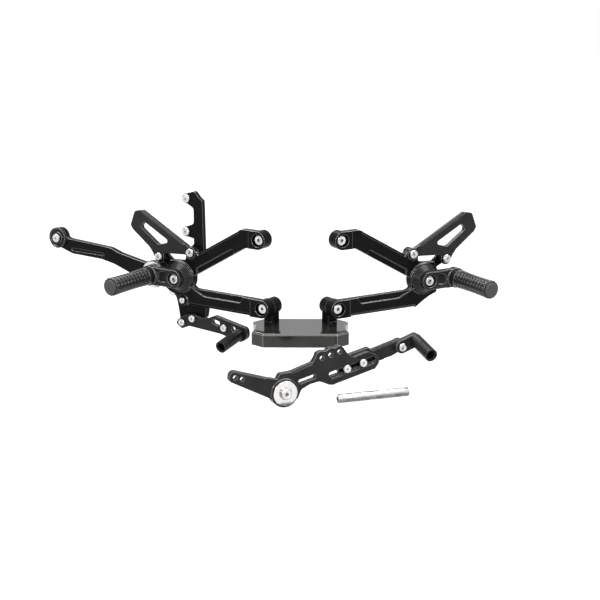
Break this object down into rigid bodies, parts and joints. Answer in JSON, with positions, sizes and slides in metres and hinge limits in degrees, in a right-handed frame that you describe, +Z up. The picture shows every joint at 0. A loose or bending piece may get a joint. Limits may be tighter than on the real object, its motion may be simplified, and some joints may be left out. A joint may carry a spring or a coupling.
{
  "type": "motorcycle rear set footrests",
  "caption": "Pair of adjustable rear set footrests on a display stand, with a brake lever, heel guards, a loose shift lever on a small rest and a linkage rod.",
  "frame": {"origin": "centre of the foot of the display riser, on the table", "axes": "+X to the right and +Y away from the camera as the picture shows the set, +Z up"},
  "size_m": [0.6087, 0.4234, 0.2119],
  "materials": {
    "black_anodised": "satin anodised",
    "black_grip": "knurled, matt",
    "gloss_black": "gloss",
    "white_plastic": "satin white",
    "cap_grey": "matt",
    "bright_steel": "bright",
    "polished_steel": "turned and polished"
  },
  "bodies": {
    "stand_set": {"stand_riser": "white_plastic", "lever_rest": "white_plastic", "stand_block": "gloss_black", "stand_post_left": "black_anodised", "stand_post_right": "black_anodised", "stand_screws": "bright_steel", "bracket_brake_side": "black_anodised", "bracket_shift_side": "black_anodised", "mount_bolts_brake_side": "bright_steel", "mount_bolts_shift_side": "bright_steel", "heel_guard_brake_side": "black_anodised", "heel_guard_shift_side": "black_anodised", "heel_guard_bolts_brake_side": "bright_steel", "heel_guard_bolts_shift_side": "bright_steel", "peg_holder_brake_side": "black_anodised", "peg_holder_shift_side": "black_anodised", "holder_bolt_brake_side": "bright_steel", "holder_bolt_shift_side": "bright_steel", "peg_grip_brake_side": "black_grip", "peg_grip_shift_side": "black_grip", "peg_cap_brake_side": "cap_grey", "peg_cap_shift_side": "cap_grey", "peg_stud_brake_side": "bright_steel", "peg_stud_shift_side": "bright_steel", "brake_lever_bush": "bright_steel", "brake_lever_front_washer": "bright_steel", "brake_lever_rear_washer": "bright_steel", "spring_post": "bright_steel", "cylinder_bracket": "black_anodised", "cylinder_bolts": "bright_steel", "cylinder_bracket_screws": "bright_steel", "shift_lever": "black_anodised", "shift_slider": "black_anodised", "shift_slider_bolts": "bright_steel", "shift_tip_bolt": "bright_steel", "linkage_rod": "polished_steel"},
    "brake_lever_set": {"brake_lever": "black_anodised", "rear_arm_disc": "black_anodised", "rear_arm_bolt": "bright_steel", "brake_toe_plate": "black_anodised", "toe_plate_bolts": "bright_steel", "brake_toe_tube": "black_anodised", "brake_toe_bolt": "bright_steel", "clevis_pin": "bright_steel"},
    "folding_tip": {"shift_tip": "black_anodised", "shift_toe_tube": "black_anodised", "shift_toe_bolt": "bright_steel"},
    "shift_pivot": {"shift_bush": "bright_steel", "shift_washer": "polished_steel", "shift_pivot_bolt": "bright_steel"}
  },
  "joints": [
    {"name": "brake_lever_pivot", "type": "hinge", "parent": "stand_set", "child": "brake_lever_set", "pos_m": [-0.19416, 0.09718, 0.096], "axis": [0.5592, 0.829, 0], "range_deg": [-4, 5.5]},
    {"name": "shift_tip_fold", "type": "hinge", "parent": "stand_set", "child": "folding_tip", "pos_m": [0.12497, -0.12939, 0.05775], "axis": [0.4067, -0.9135, 0], "range_deg": [0, 60]},
    {"name": "shift_pivot_turn", "type": "hinge", "parent": "stand_set", "child": "shift_pivot", "pos_m": [-0.021, -0.19, 0.01775], "axis": [0.4067, -0.9135, 0], "continuous": true}
  ]
}
